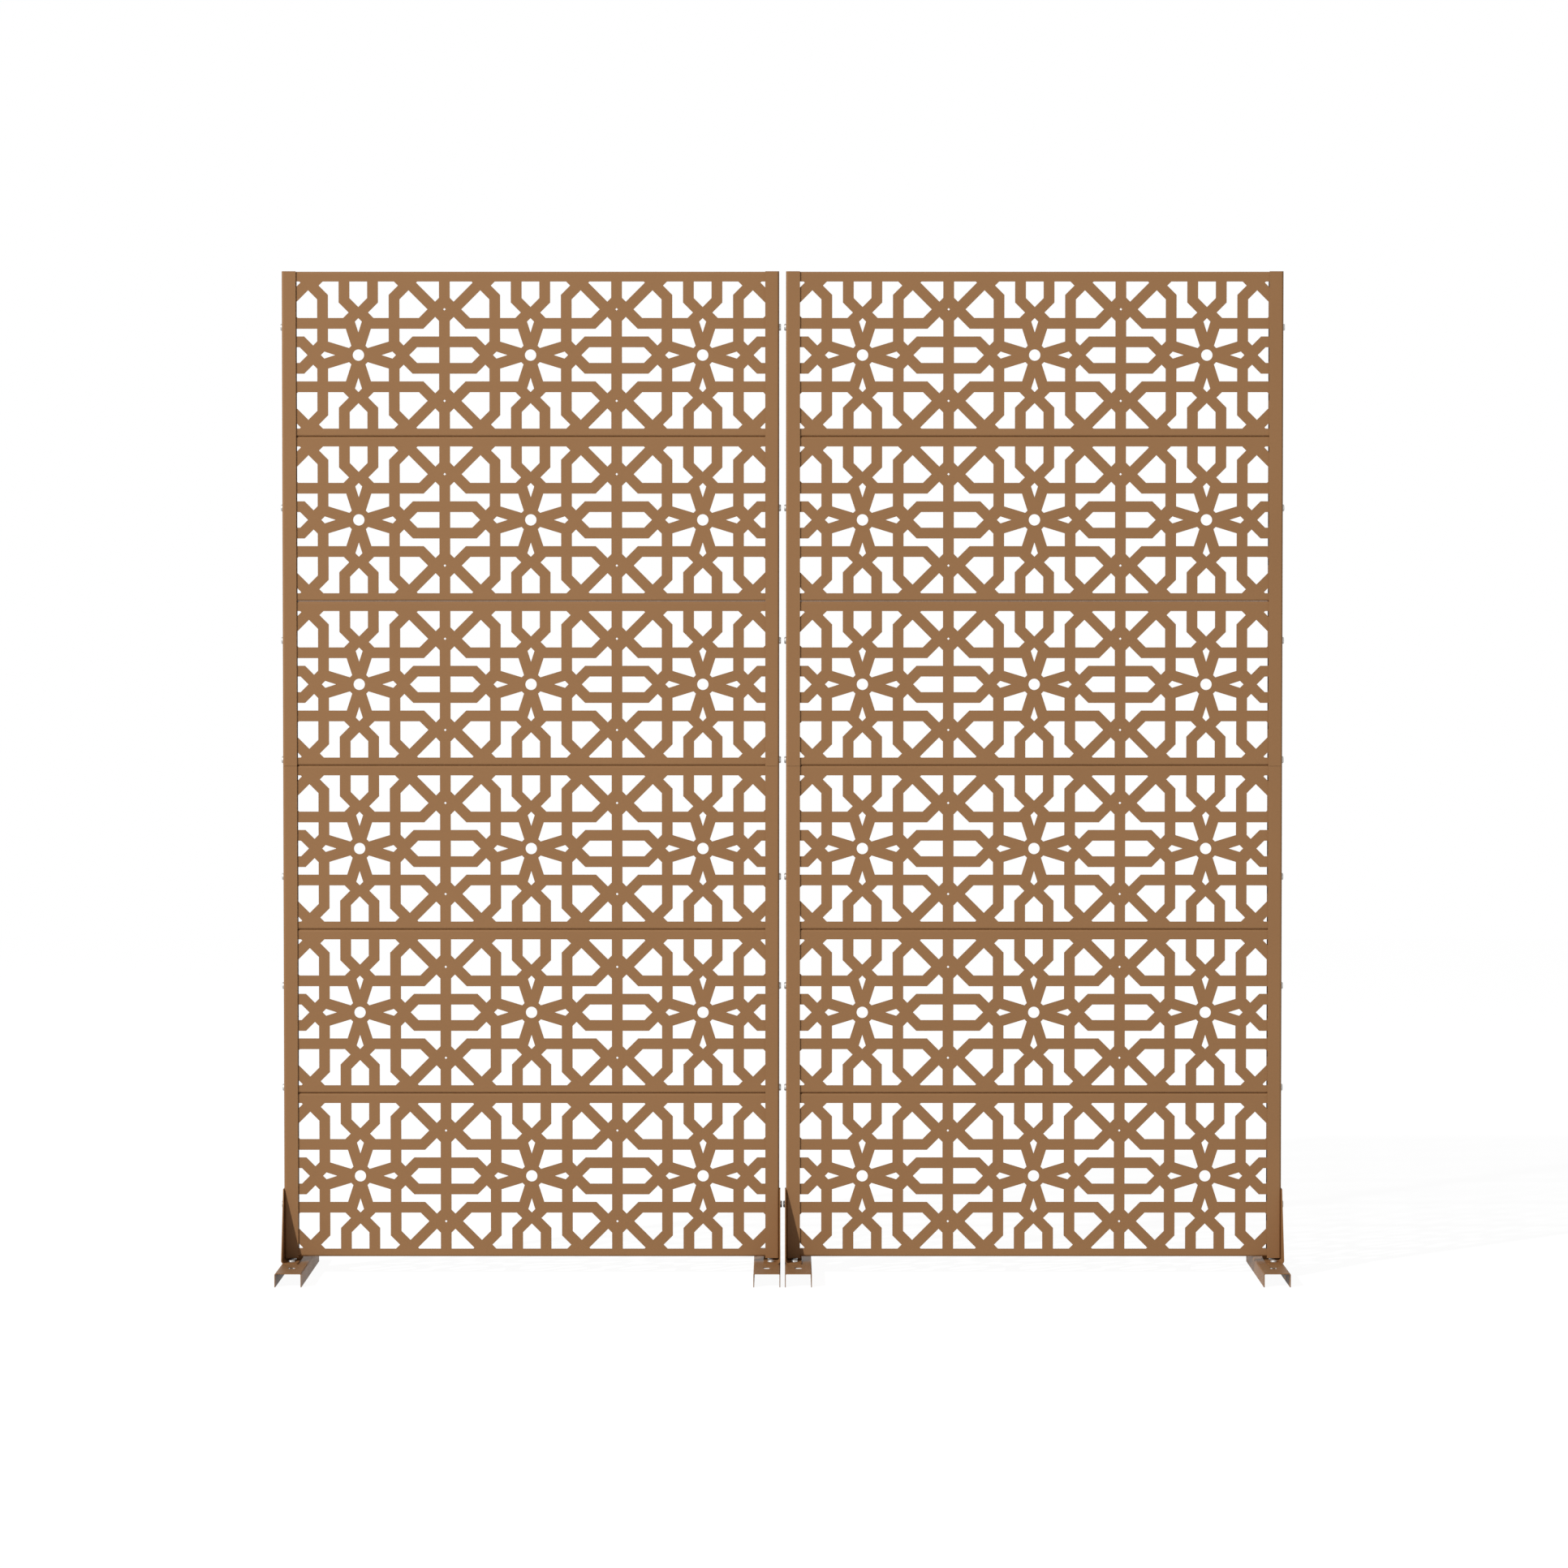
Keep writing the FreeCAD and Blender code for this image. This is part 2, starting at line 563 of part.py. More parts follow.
def bracket():
    """A bracket: a fin that narrows upwards and a flange folded inwards, its outside at X = 0."""
    body = doc.addObject("PartDesign::Body", "bracket_pattern")
    base = "Sizes.bracket_base / 2"
    top = "Sizes.bracket_top / 2"
    height = "Sizes.bracket_height"
    heel = "Sizes.bracket_heel"
    flange = "Sizes.bracket_flange"
    sketch = new_sketch(body, "YZ_Plane", "fin_outline")
    draw_outline(sketch, [(f"-{base}", "0"), (base, "0"), (base, heel), (top, height),
                          (f"-{top}", height), (f"-{base}", heel)])
    pad(body, sketch, "fin", "Sizes.bracket_sheet")
    sketch = new_sketch(body, "XY_Plane", "flange_outline")
    draw_rectangle(sketch, "0", flange, f"-{base}", base)
    pad(body, sketch, "flange", "Sizes.bracket_sheet")

    sheet = value("Sizes.bracket_sheet")
    round_edges(body, "inner_fold", "Sizes.bracket_bend", "y",
                lambda point: near(point.x, sheet) and near(point.z, sheet))
    round_edges(body, "outer_fold", "Sizes.bracket_bend + Sizes.bracket_sheet", "y",
                lambda point: near(point.x, 0) and near(point.z, 0))
    round_edges(body, "fin_corners", "Sizes.bracket_corner", "x",
                lambda point: near(point.z, value(height)) and near(abs(point.y), value(top)))
    round_edges(body, "flange_corners", "Sizes.bracket_corner", "z",
                lambda point: near(point.x, value(flange)) and near(abs(point.y), value(base)))

    drill(body, [f"{bolt_height(0, 0)} - Sizes.foot_height"])
    sketch = new_sketch(body, "XY_Plane", "foot_bolt_sketch")
    for side in ("", "-"):
        draw_circle(sketch, ("Sizes.foot_bolt_across", side + "Sizes.foot_bolt_reach"),
                    "Sizes.bolt_hole / 2")
    pocket(body, sketch, "foot_bolt_holes", both=True)
    return body


def draw_slot(sketch, x, y, length, width):
    """A slot with round ends that runs along Y."""
    end = f"({length} - {width}) / 2"
    radius = f"{width} / 2"
    middle = FreeCAD.Vector(value(x), value(y), 0)
    reach = FreeCAD.Vector(0, value(end), 0)
    across = FreeCAD.Vector(value(radius), 0, 0)
    beyond = FreeCAD.Vector(0, value(radius), 0)
    far = Part.Arc(middle + reach + across, middle + reach + beyond, middle + reach - across)
    close = Part.Arc(middle - reach - across, middle - reach - beyond, middle - reach + across)
    left = Part.LineSegment(middle + reach - across, middle - reach - across)
    right = Part.LineSegment(middle - reach + across, middle + reach + across)
    first = sketch.GeometryCount
    sketch.addGeometry([far, left, close, right], False)
    relations = [(Sketcher.Constraint("Tangent", first + number, 2, first + (number + 1) % 4, 1), None)
                 for number in range(4)]
    relations += held_point(first, 3, (x, f"{y} + {end}"))
    relations += held_point(first + 2, 3, (x, f"{y} - {end}"))
    relations.append((Sketcher.Constraint("Radius", first, value(radius)), radius))
    constrain(sketch, relations)


def foot():
    """A foot: a channel that opens downwards, its outside at X = 0 and its middle at Y = 0."""
    body = doc.addObject("PartDesign::Body", "foot_pattern")
    width = "Sizes.foot_width"
    wall = "Sizes.foot_sheet"
    inner = "(Sizes.foot_width - Sizes.foot_sheet)"
    height = "Sizes.foot_height"
    under = "(Sizes.foot_height - Sizes.foot_sheet)"
    sketch = new_sketch(body, "XZ_Plane", "foot_section")
    draw_outline(sketch, [("0", "0"), (wall, "0"), (wall, under), (inner, under), (inner, "0"),
                          (width, "0"), (width, height), ("0", height)])
    pad(body, sketch, "foot_channel", "Sizes.foot_length", symmetric=True)
    round_edges(body, "outer_folds", "Sizes.foot_bend", "y",
                lambda point: near(point.z, value(height)))
    round_edges(body, "inner_folds", "Sizes.foot_bend - Sizes.foot_sheet", "y",
                lambda point: near(point.z, value(under)))
    sketch = new_sketch(body, "XY_Plane", "foot_hole_sketch")
    for side in ("", "-"):
        draw_slot(sketch, "Sizes.foot_width / 2", side + "Sizes.slot_reach",
                  "Sizes.slot_length", "Sizes.slot_width")
        draw_circle(sketch, ("Sizes.foot_bolt_across", side + "Sizes.foot_bolt_reach"),
                    "Sizes.bolt_hole / 2")
    pocket(body, sketch, "foot_holes", reverse=True)
    return body


def bolt_height(row, number):
    """The height of a side bolt above the floor."""
    share = BOLT_SHARES[row][number]
    return f"(Layout.first_row + {row} * Layout.row_pitch + {share} * Sizes.panel_height)"


# The bar inside a post's joint runs from a bolt in the tray below the joint to one in the tray above
JOINT_ROW = ROWS // 2
BAR_BOLTS = [bolt_height(JOINT_ROW - 1, 0), bolt_height(JOINT_ROW, 0)]


def joint_bar():
    """A flat bar, its face against the tray's side fold at X = 0, at its height in the post."""
    body = doc.addObject("PartDesign::Body", "bar_pattern")
    sketch = new_sketch(body, "YZ_Plane", "bar_outline")
    low, high = BAR_BOLTS
    draw_rectangle(sketch, "-Sizes.bar_width / 2", "Sizes.bar_width / 2",
                   f"{low} - Sizes.bar_end", f"{high} + Sizes.bar_end")
    pad(body, sketch, "bar", "Sizes.bar_sheet")
    drill(body, BAR_BOLTS)
    return body


def bolt():
    """A bolt along +X, with a low pan head seated at X = 0."""
    body = doc.addObject("PartDesign::Body", "bolt_pattern")
    length = "Sizes.bolt_length"
    sketch = new_sketch(body, "XZ_Plane", "bolt_section")
    draw_outline(sketch, [("-Sizes.head_height", "0"), (length, "0"), (length, "Sizes.thread / 2"),
                          ("0", "Sizes.thread / 2"), ("0", "Sizes.head_width / 2"),
                          ("-Sizes.head_height", "Sizes.head_crown / 2")])
    turn = body.newObject("PartDesign::Revolution", "bolt_turned")
    turn.Profile = sketch
    turn.ReferenceAxis = (sketch, ["H_Axis"])
    turn.Angle = 360
    doc.recompute()
    return body


def nut():
    """A hexagon nut along +X, seated at X = 0."""
    body = doc.addObject("PartDesign::Body", "nut_pattern")
    sketch = new_sketch(body, "YZ_Plane", "nut_section")
    reach = "Sizes.nut_flats / 2"
    point = "Sizes.nut_flats / sqrt(3)"
    draw_outline(sketch, [("0", point), (f"-{reach}", f"{point} / 2"), (f"-{reach}", f"-{point} / 2"),
                          ("0", f"-{point}"), (reach, f"-{point} / 2"), (reach, f"{point} / 2")])
    draw_circle(sketch, ("0", "0"), "Sizes.thread / 2 + Sizes.nut_play")
    pad(body, sketch, "nut_body", "Sizes.nut_height")
    return body


def place_fastener(pattern, name, x, y, z, axis, angle):
    """One more of the same fastener, turned about an axis and set at its seat."""
    link = doc.addObject("App::Link", name)
    link.LinkedObject = pattern
    link.Placement = FreeCAD.Placement(FreeCAD.Vector(), FreeCAD.Rotation(axis, angle))
    for letter, text in (("x", x), ("y", y), ("z", z)):
        link.setExpression(f"Placement.Base.{letter}", text)
    return link


def fastener_group(label, links):
    group = doc.addObject("Part::Compound", label)
    group.Links = links
    add_part(group, label)


def drilled(pattern, name, heights):
    """A copy of a pattern with its own bolt holes."""
    body = copy_body(pattern, name)
    drill(body, heights)
    return body


patterns = {
    "bracket": bracket(),
    "foot": foot(),
    "bar": joint_bar(),
    "bolt": bolt(),
    "nut": nut(),
}
blank_tray = lattice_tray()
for row in range(ROWS):
    patterns[f"panel_{row + 1}"] = drilled(blank_tray, f"panel_{row + 1}_pattern", [
        f"{share} * Sizes.panel_height - Layout.below_centre" for share in BOLT_SHARES[row]])
blank_post = half_post()
POST_HALVES = (("lower", "Layout.post_bottom", range(0, JOINT_ROW)),
               ("upper", "Layout.upper_post", range(JOINT_ROW, ROWS)))
for half, bottom, rows in POST_HALVES:
    patterns[f"post_{half}"] = drilled(blank_post, f"post_{half}_pattern", [
        f"{bolt_height(row, number)} - {bottom}"
        for row in rows for number in range(len(BOLT_SHARES[row]))])


def place_copy(pattern, label, **place):
    """A copy of a pattern as one piece of the screens."""
    add_part(copy_body(patterns[pattern], label), label, **place)


def trays(screen, centre):
    for row in range(ROWS):
        name = f"panel_{row + 1}"
        place_copy(name, f"{screen}_{name}", x=centre,
                   z=f"Layout.first_row + {row} * Layout.row_pitch + Layout.below_centre")


def upright(name, centre, turned):
    """A post with its bar, bracket and foot, turned half round at a screen's right-hand side."""
    sign = "+" if turned else "-"
    inward = "-" if turned else "+"
    outside = f"{centre} {sign} Layout.screen_width / 2"
    beyond = f"{outside} {sign} Sizes.bracket_sheet"
    for half, bottom, _ in POST_HALVES:
        place_copy(f"post_{half}", f"{name}_post_{half}", x=outside, z=bottom, turned=turned)
    place_copy("bar", f"{name}_joint_bar", turned=turned,
               x=f"{outside} {inward} (Sizes.post_sheet + Layout.tray_gap + Sizes.panel_sheet)")
    place_copy("bracket", f"{name}_bracket", x=beyond, z="Sizes.foot_height", turned=turned)
    place_copy("foot", f"{name}_foot", x=beyond, turned=turned)


def fasteners(screen, sides):
    """Every bolt and nut of one screen, in three groups."""
    upright_axis = FreeCAD.Vector(0, 0, 1)
    level_axis = FreeCAD.Vector(0, 1, 0)
    stack = "Sizes.post_sheet + Layout.tray_gap + Sizes.panel_sheet"
    side_bolts = []
    foot_bolts = []
    nuts = []
    for side, centre, turned in sides:
        sign = "+" if turned else "-"
        inward = "-" if turned else "+"
        outside = f"{centre} {sign} Layout.screen_width / 2"
        half_turn = 180 if turned else 0
        for row in range(ROWS):
            for number in range(len(BOLT_SHARES[row])):
                height = bolt_height(row, number)
                tail = f"{screen}_{side}_{row + 1}_{number + 1}"
                seat = f"{outside} {sign} Sizes.bracket_sheet" if row == 0 else outside
                side_bolts.append(place_fastener(patterns["bolt"], f"side_bolt_{tail}",
                                                 seat, "0", height, upright_axis, half_turn))
                grip = f"{stack} + Sizes.bar_sheet" if height in BAR_BOLTS else stack
                nuts.append(place_fastener(patterns["nut"], f"side_nut_{tail}",
                                           f"{outside} {inward} ({grip})", "0", height,
                                           upright_axis, half_turn))
        across = f"{outside} {sign} Sizes.bracket_sheet {inward} Sizes.foot_bolt_across"
        for end, reach in (("front", "-Sizes.foot_bolt_reach"), ("back", "Sizes.foot_bolt_reach")):
            tail = f"{screen}_{side}_{end}"
            foot_bolts.append(place_fastener(
                patterns["bolt"], f"foot_bolt_{tail}", across, reach,
                "Sizes.foot_height + Sizes.bracket_sheet", level_axis, 90))
            nuts.append(place_fastener(
                patterns["nut"], f"foot_nut_{tail}", across, reach,
                "Sizes.foot_height - Sizes.foot_sheet", level_axis, 90))
    fastener_group(f"{screen}_side_bolts", side_bolts)
    fastener_group(f"{screen}_foot_bolts", foot_bolts)
    fastener_group(f"{screen}_nuts", nuts)


for screen, centre, left_side, right_side in (
        ("left", "-Layout.screen_shift", "outer", "inner"),
        ("right", "Layout.screen_shift", "inner", "outer")):
    trays(screen, centre)
    upright(f"{screen}_{left_side}", centre, False)
    upright(f"{screen}_{right_side}", centre, True)
    fasteners(screen, ((left_side, centre, False), (right_side, centre, True)))
doc.recompute()

for item in doc.Objects:
    if "Invalid" in item.State or "Error" in item.State:
        raise RuntimeError(f"{item.Name} failed: {item.State}")
shapes = {item.Label: item.Shape for item in parts}
for label, shape in shapes.items():
    if shape.isNull() or not shape.isValid():
        raise RuntimeError(f"{label} has no valid shape")

os.makedirs("parts", exist_ok=True)
box = FreeCAD.BoundBox()
for label, shape in shapes.items():
    shape.exportStep(f"parts/{label}.step")
    box.add(shape.BoundBox)
print(f"{len(shapes)} nodes, {box.XLength:.1f} x {box.YLength:.1f} x {box.ZLength:.1f} mm")
print(f"lattice pitch {value('Layout.pitch'):.2f}, cell {value('Layout.cell'):.2f}")
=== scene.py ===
# %% [markdown]
# A pair of lattice privacy screens, dressed for a product picture.
# The metalwork itself, trays, posts, brackets and feet, comes finished from the solid model.
# What is left to make here is the camera, the light, the coat of paint and the hardware.
# Everything is in metres: X runs along the screens, Y to the back and Z up from the floor.

# %% Load the frame
import math
import bpy
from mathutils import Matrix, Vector


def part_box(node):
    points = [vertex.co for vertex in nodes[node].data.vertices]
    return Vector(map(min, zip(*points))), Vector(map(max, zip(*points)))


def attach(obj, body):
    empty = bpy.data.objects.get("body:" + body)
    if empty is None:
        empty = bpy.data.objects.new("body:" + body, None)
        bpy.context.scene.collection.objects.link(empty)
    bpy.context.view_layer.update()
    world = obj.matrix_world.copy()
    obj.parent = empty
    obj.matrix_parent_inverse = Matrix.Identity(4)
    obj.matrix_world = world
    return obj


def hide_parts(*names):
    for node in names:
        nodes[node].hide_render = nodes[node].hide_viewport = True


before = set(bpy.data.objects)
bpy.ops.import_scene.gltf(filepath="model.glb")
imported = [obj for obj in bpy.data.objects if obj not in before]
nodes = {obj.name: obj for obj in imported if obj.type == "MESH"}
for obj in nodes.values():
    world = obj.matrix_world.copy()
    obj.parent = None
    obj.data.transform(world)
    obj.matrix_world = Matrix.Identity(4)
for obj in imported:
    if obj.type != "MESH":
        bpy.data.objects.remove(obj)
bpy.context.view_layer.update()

MM = 0.001


# %% [markdown]
# The picture was taken from far away with a long lens, almost level.
# Such a lens keeps the two screens nearly square, and only the feet show that it looks down a little.
# The camera's height and tilt were found from the feet, whose front and back ends shift apart in the view.

# %% Camera
EYE = Vector((0.0025, -10.745, 1.2753))
TILT_DOWN = 2.0045
LENS, SENSOR_WIDTH = 135, 36
SEES_TO = 200
bpy.ops.object.camera_add(location=EYE, rotation=(math.radians(90 - TILT_DOWN), 0, 0))
camera = bpy.context.object
camera.data.lens = LENS
camera.data.sensor_width = SENSOR_WIDTH
camera.data.clip_end = SEES_TO
bpy.context.scene.camera = camera
print("camera", round(EYE.length, 2), "m away, with a lens of", LENS, "mm")


# %% [markdown]
# The light is one strong lamp high on the left in front, and a white room that fills the shadows.
# The wedge of shade that each left-hand bracket throws across its post gives the lamp's direction.
# The metal is a little lighter at its top left than at its bottom right,
# so the lamp isn't as far off as the sun.
# A round area lamp some way back gives both, and its width softens the wedge's edge.
# Its level is written as the brightness that it alone gives a white sheet at the screens' fronts.
# A lamp's power follows from that by its distance, squared, and pi, squared.

# %% Lamp
LAMP_AWAY, LAMP_SIZE = 24.0, 0.64
LAMP_LEVEL = 0.58
LIGHT_TRAVEL = Vector((0.857, 1.0, -0.75)).normalized()
SCREENS_MIDDLE = Vector((0, 0, 0.9))
bpy.ops.object.light_add(type="AREA", location=SCREENS_MIDDLE - LIGHT_TRAVEL * LAMP_AWAY,
                         rotation=LIGHT_TRAVEL.to_track_quat("-Z", "Y").to_euler())
lamp = bpy.context.object
lamp.data.shape = "DISK"
lamp.data.size = LAMP_SIZE
lamp.data.energy = LAMP_LEVEL / LIGHT_TRAVEL.y * math.pi ** 2 * LAMP_AWAY ** 2
slant = math.degrees(math.acos(LIGHT_TRAVEL.y))
print("the lamp meets the fronts at", round(slant), "degrees from square")


# %% [markdown]
# A white room would be a huge bright box. A world colour does the same with no walls to build.
# The world is dim where it lights the metal and plain white where the camera or a gloss sees it.
# That way the backdrop is white and the coat still keeps its own depth of colour.
# Nodes are added so often from here on that one short function takes their settings and values.

# %% World
ROOM_FILL = 0.19
WHITE = (1, 1, 1, 1)


def add_node(tree, kind, values=None, **settings):
    """A new node with its settings, and plain values for its named sockets."""
    node = tree.nodes.new(kind)
    for key, setting in settings.items():
        setattr(node, key, setting)
    for socket, value in (values or {}).items():
        node.inputs[socket].default_value = value
    return node


def white_to_the_eye(tree):
    """A value of 1 for rays that come from the camera, a gloss or a clear body."""
    path = add_node(tree, "ShaderNodeLightPath")
    seen = path.outputs["Is Camera Ray"]
    for ray in ("Is Glossy Ray", "Is Transmission Ray"):
        either = add_node(tree, "ShaderNodeMath", operation="MAXIMUM")
        tree.links.new(seen, either.inputs[0])
        tree.links.new(path.outputs[ray], either.inputs[1])
        seen = either.outputs[0]
    return seen


def lights_and_looks(tree, lights, looks, output):
    """Gives one shader to the rays that light things and another to those that show them."""
    choose = add_node(tree, "ShaderNodeMixShader")
    tree.links.new(white_to_the_eye(tree), choose.inputs[0])
    tree.links.new(lights.outputs[0], choose.inputs[1])
    tree.links.new(looks.outputs[0], choose.inputs[2])
    tree.links.new(choose.outputs[0], output.inputs["Surface"])


world = bpy.data.worlds.new("white_room")
bpy.context.scene.world = world
world.use_nodes = True
room = world.node_tree
room.nodes.clear()
lights_and_looks(room,
                 add_node(room, "ShaderNodeBackground", {"Color": WHITE, "Strength": ROOM_FILL}),
                 add_node(room, "ShaderNodeBackground", {"Color": WHITE, "Strength": 1.0}),
                 add_node(room, "ShaderNodeOutputWorld"))
bpy.context.scene.view_settings.view_transform = "Standard"
print("room fill", ROOM_FILL)


# %% [markdown]
# The screens stand on a wide white board.
# It is as bright to the eye as the backdrop, so its far edge doesn't show.
# To the eye the board is nearly white by itself, with a thin layer that still darkens under a shadow.
# To the other rays it is ordinary matt board, which throws light up under the feet and the trays.

# %% Floor
FLOOR_SIZE = 20
BOARD, SHADE_LAYER, BOARD_GLOW = 0.8, 0.12, 0.95


def node_material(name):
    material = bpy.data.materials.new(name)
    material.use_nodes = True
    material.node_tree.nodes.clear()
    return material, material.node_tree, add_node(material.node_tree, "ShaderNodeOutputMaterial")


def deselect_all():
    bpy.ops.object.select_all(action="DESELECT")


def grey(level):
    return (level, level, level, 1)


deselect_all()
bpy.ops.mesh.primitive_plane_add(size=FLOOR_SIZE)
floor = bpy.context.object
floor.name = "floor"
board, tree, output = node_material("white_board")
matt = add_node(tree, "ShaderNodeBsdfDiffuse", {"Color": grey(BOARD)})
shade_layer = add_node(tree, "ShaderNodeBsdfDiffuse", {"Color": grey(SHADE_LAYER)})
glow = add_node(tree, "ShaderNodeEmission", {"Strength": BOARD_GLOW})
seen = add_node(tree, "ShaderNodeAddShader")
tree.links.new(shade_layer.outputs[0], seen.inputs[0])
tree.links.new(glow.outputs[0], seen.inputs[1])
lights_and_looks(tree, matt, seen, output)
floor.data.materials.append(board)
print("floor", tuple(round(x) for x in floor.dimensions))


# %% [markdown]
# All the sheet metal wears the same brown powder coat, sprayed on dry and baked.
# Close up such a coat is never quite flat: it dries with a fine skin like that of an orange.
# Its shade also wanders a little over a long piece, because the spray is never quite even.
# Both are noise at very different sizes, so one group of nodes makes them for every coated piece.
# A third, very fine noise adds the grain that a powder leaves.

# %% Powder coat texture
def group_sockets(group, inputs, outputs):
    """Named inputs with their plain values, and named outputs."""
    for name, kind, plain in inputs:
        socket = group.interface.new_socket(name=name, in_out="INPUT", socket_type=kind)
        if plain is not None:
            socket.default_value = plain
    for name, kind in outputs:
        group.interface.new_socket(name=name, in_out="OUTPUT", socket_type=kind)
    return group.nodes.new("NodeGroupInput"), group.nodes.new("NodeGroupOutput")


def noise(group, **values):
    return add_node(group, "ShaderNodeTexNoise", values, noise_dimensions="3D")


def stretch(group, low, high, new_low=0.0, new_high=1.0):
    """Spreads the narrow middle of a noise over a new range."""
    return add_node(group, "ShaderNodeMapRange",
                    {"From Min": low, "From Max": high, "To Min": new_low, "To Max": new_high})


SKIN_OUTPUTS = [("Colour", "NodeSocketColor"),
                ("Roughness", "NodeSocketFloat"),
                ("Height", "NodeSocketFloat")]
coat_group = bpy.data.node_groups.new("Powder coat skin", "ShaderNodeTree")
given, result = group_sockets(
    coat_group,
    [("Place", "NodeSocketVector", None),
     ("Colour", "NodeSocketColor", (0.3, 0.17, 0.08, 1)),
     ("Peel per metre", "NodeSocketFloat", 420.0),
     ("Shade change", "NodeSocketFloat", 0.05),
     ("Roughness", "NodeSocketFloat", 0.45)],
    SKIN_OUTPUTS)
peel = noise(coat_group, Detail=3.0, Roughness=0.55)
drift = noise(coat_group, Scale=3.5, Detail=2.0)
grain = noise(coat_group, Scale=2600.0, Detail=1.0)
even = stretch(coat_group, 0.3, 0.7, -1.0, 1.0)
speck = stretch(coat_group, 0.25, 0.75, -0.5, 0.5)
both = add_node(coat_group, "ShaderNodeMath", operation="ADD")
amount = add_node(coat_group, "ShaderNodeMath", {2: 1.0}, operation="MULTIPLY_ADD")
tint = add_node(coat_group, "ShaderNodeVectorMath", operation="SCALE")
dull = add_node(coat_group, "ShaderNodeMath", {1: 0.05}, operation="MULTIPLY_ADD")
for start, end in ((given.outputs["Place"], peel.inputs["Vector"]),
                   (given.outputs["Peel per metre"], peel.inputs["Scale"]),
                   (given.outputs["Place"], drift.inputs["Vector"]),
                   (given.outputs["Place"], grain.inputs["Vector"]),
                   (drift.outputs["Fac"], even.inputs["Value"]),
                   (grain.outputs["Fac"], speck.inputs["Value"]),
                   (even.outputs[0], both.inputs[0]),
                   (speck.outputs[0], both.inputs[1]),
                   (both.outputs[0], amount.inputs[0]),
                   (given.outputs["Shade change"], amount.inputs[1]),
                   (given.outputs["Colour"], tint.inputs[0]),
                   (amount.outputs[0], tint.inputs["Scale"]),
                   (tint.outputs[0], result.inputs["Colour"]),
                   (even.outputs[0], dull.inputs[0]),
                   (given.outputs["Roughness"], dull.inputs[2]),
                   (dull.outputs[0], result.inputs["Roughness"]),
                   (peel.outputs["Fac"], result.inputs["Height"])):
    coat_group.links.new(start, end)
print("coat group with", len(coat_group.nodes), "nodes")


# %% [markdown]
# Each coated piece takes its paint from that group and adds the shader itself.
# The trays are thin and flat, so their skin is finest. The posts and feet are a little coarser.
# The brown was judged on the flat fronts, where the lamp and the room together show it as it is.
# The feet and brackets wear a slightly darker copy of that brown. This is painted shade for the dimmer
# light low down by the floor and under the posts, not a different paint. The feet are also less glossy,
# and the brackets quite matt.

# %% Coated metal
PEEL_RELIEF = 0.35


def skinned(name, group, skin_values, relief, depth, surface_values):
    """A material with its colour, roughness and relief from a group, and its own shader."""
    material, tree, output = node_material(name)
    place = add_node(tree, "ShaderNodeTexCoord")
    skin = add_node(tree, "ShaderNodeGroup", skin_values, node_tree=group)
    bump = add_node(tree, "ShaderNodeBump", {"Strength": relief, "Distance": depth})
    surface = add_node(tree, "ShaderNodeBsdfPrincipled", surface_values)
    tree.links.new(place.outputs["Object"], skin.inputs["Place"])
    tree.links.new(skin.outputs["Colour"], surface.inputs["Base Color"])
    tree.links.new(skin.outputs["Roughness"], surface.inputs["Roughness"])
    tree.links.new(skin.outputs["Height"], bump.inputs["Height"])
    tree.links.new(bump.outputs["Normal"], surface.inputs["Normal"])
    tree.links.new(surface.outputs[0], output.inputs["Surface"])
    return material


def coated(name, colour, roughness, peel_size, shade_change, peel_depth, gloss=0.2):
    """Powder-coated steel in one colour; sizes in metres."""
    skin = {"Colour": (*colour, 1), "Roughness": roughness,
            "Peel per metre": 1 / peel_size, "Shade change": shade_change}
    return skinned(name, coat_group, skin, PEEL_RELIEF, peel_depth, {"Specular IOR Level": gloss})


BROWN = (0.306, 0.158, 0.0675)
# Painted shade: the bracket and foot browns are darkened copies of the one coat colour.
BRACKET_BROWN_PAINTED_SHADE = (0.290, 0.147, 0.062)
FOOT_BROWN_PAINTED_SHADE = (0.272, 0.141, 0.060)
tray_coat = coated("tray_coat", BROWN, 0.48, 2.2 * MM, 0.025, 0.05 * MM)
post_coat = coated("post_coat", BROWN, 0.46, 2.6 * MM, 0.03, 0.06 * MM)
bracket_coat_painted_shade = coated("bracket_coat_painted_shade", BRACKET_BROWN_PAINTED_SHADE, 0.50, 2.6 * MM, 0.03, 0.06 * MM, 0.0)
foot_coat_painted_shade = coated("foot_coat_painted_shade", FOOT_BROWN_PAINTED_SHADE, 0.46, 3.0 * MM, 0.04, 0.08 * MM, 0.12)


def paint(obj, material):
    obj.data.materials.clear()
    obj.data.materials.append(material)


COATS = {"_panel_": tray_coat, "_foot": foot_coat_painted_shade, "_bracket": bracket_coat_painted_shade,
         "_post_": post_coat, "_joint_bar": post_coat}
FASTENERS = ("side_bolts", "foot_bolts", "nuts")
coated_names = [name for name in nodes if not name.endswith(FASTENERS)]
for name in coated_names:
    paint(nodes[name], next(coat for part, coat in COATS.items() if part in name))
print("coats on", len(coated_names), "pieces")


# %% [markdown]
# The bolts and nuts are plain steel with a dull zinc plating, the only bare metal on the screens.
# Plating takes a cloudy gloss, and the metal below it shows the fine marks of its turning.
# Clouds and marks are again noise, in a group that both kinds of hardware share.

